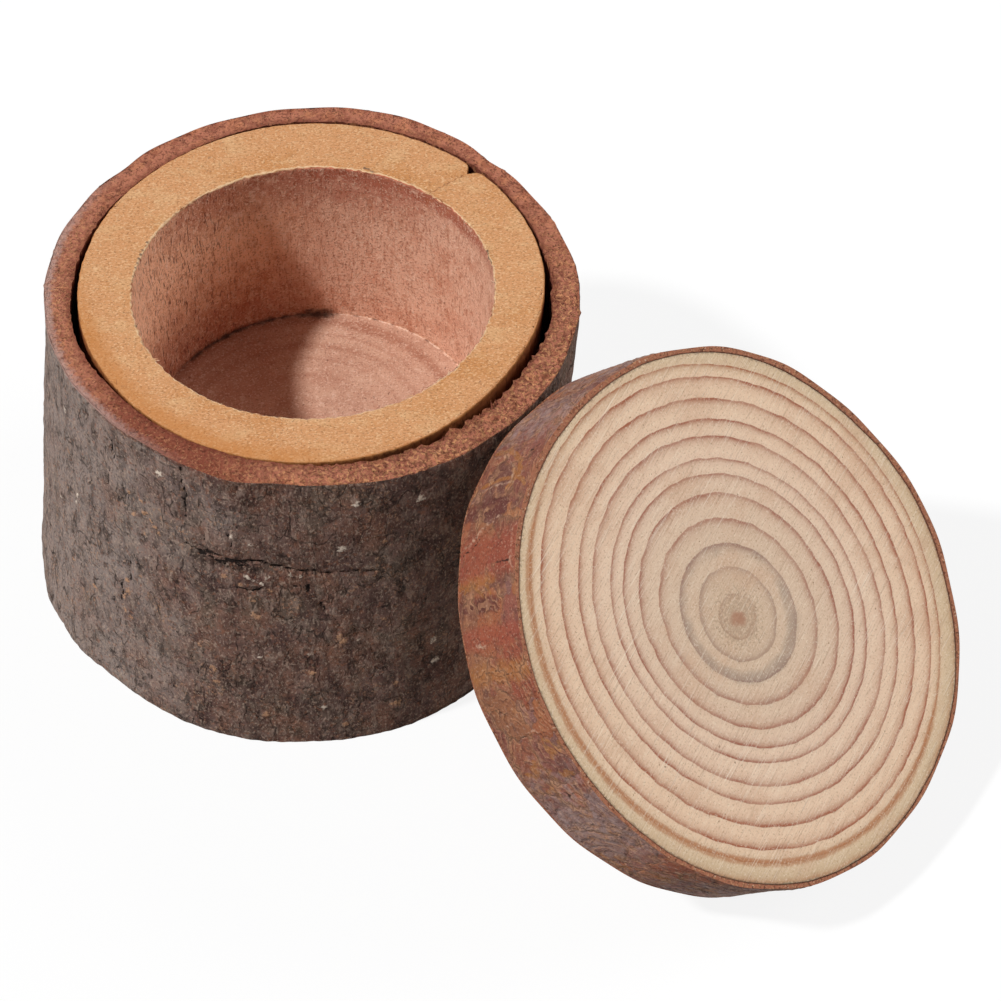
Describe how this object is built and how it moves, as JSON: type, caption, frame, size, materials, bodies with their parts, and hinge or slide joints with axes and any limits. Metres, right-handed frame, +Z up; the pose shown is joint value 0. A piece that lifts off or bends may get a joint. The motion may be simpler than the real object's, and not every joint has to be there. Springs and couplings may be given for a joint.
{
  "type": "log keepsake box with lid",
  "caption": "Small round box bored from a bark-covered log, with a loose bark shell and a ringed branch-slice lid that leans against its side.",
  "frame": {"origin": "middle of the log's flat foot, on the ground, straight under the middle of the wood's rim", "axes": "+Z up along the bore, -Y to the front, +X to the right, where the lid leans"},
  "size_m": [0.109, 0.0943, 0.0514],
  "materials": {
    "log_wood": "bare sawn wood",
    "log_bark": "rough furrowed bark",
    "slice_wood": "bare sawn end grain",
    "slice_bark": "flaky scaled bark",
    "plug_wood": "bare turned wood"
  },
  "bodies": {
    "box": {"box_log": "log_wood", "box_bark": "log_bark"},
    "lid": {"lid_slice": "slice_wood", "lid_bark": "slice_bark", "lid_plug": "plug_wood"}
  },
  "joints": [
    {"name": "lid_lift", "type": "slide", "parent": "box", "child": "lid", "axis": [0, 0, 1], "range_m": [0, 0.06]}
  ]
}
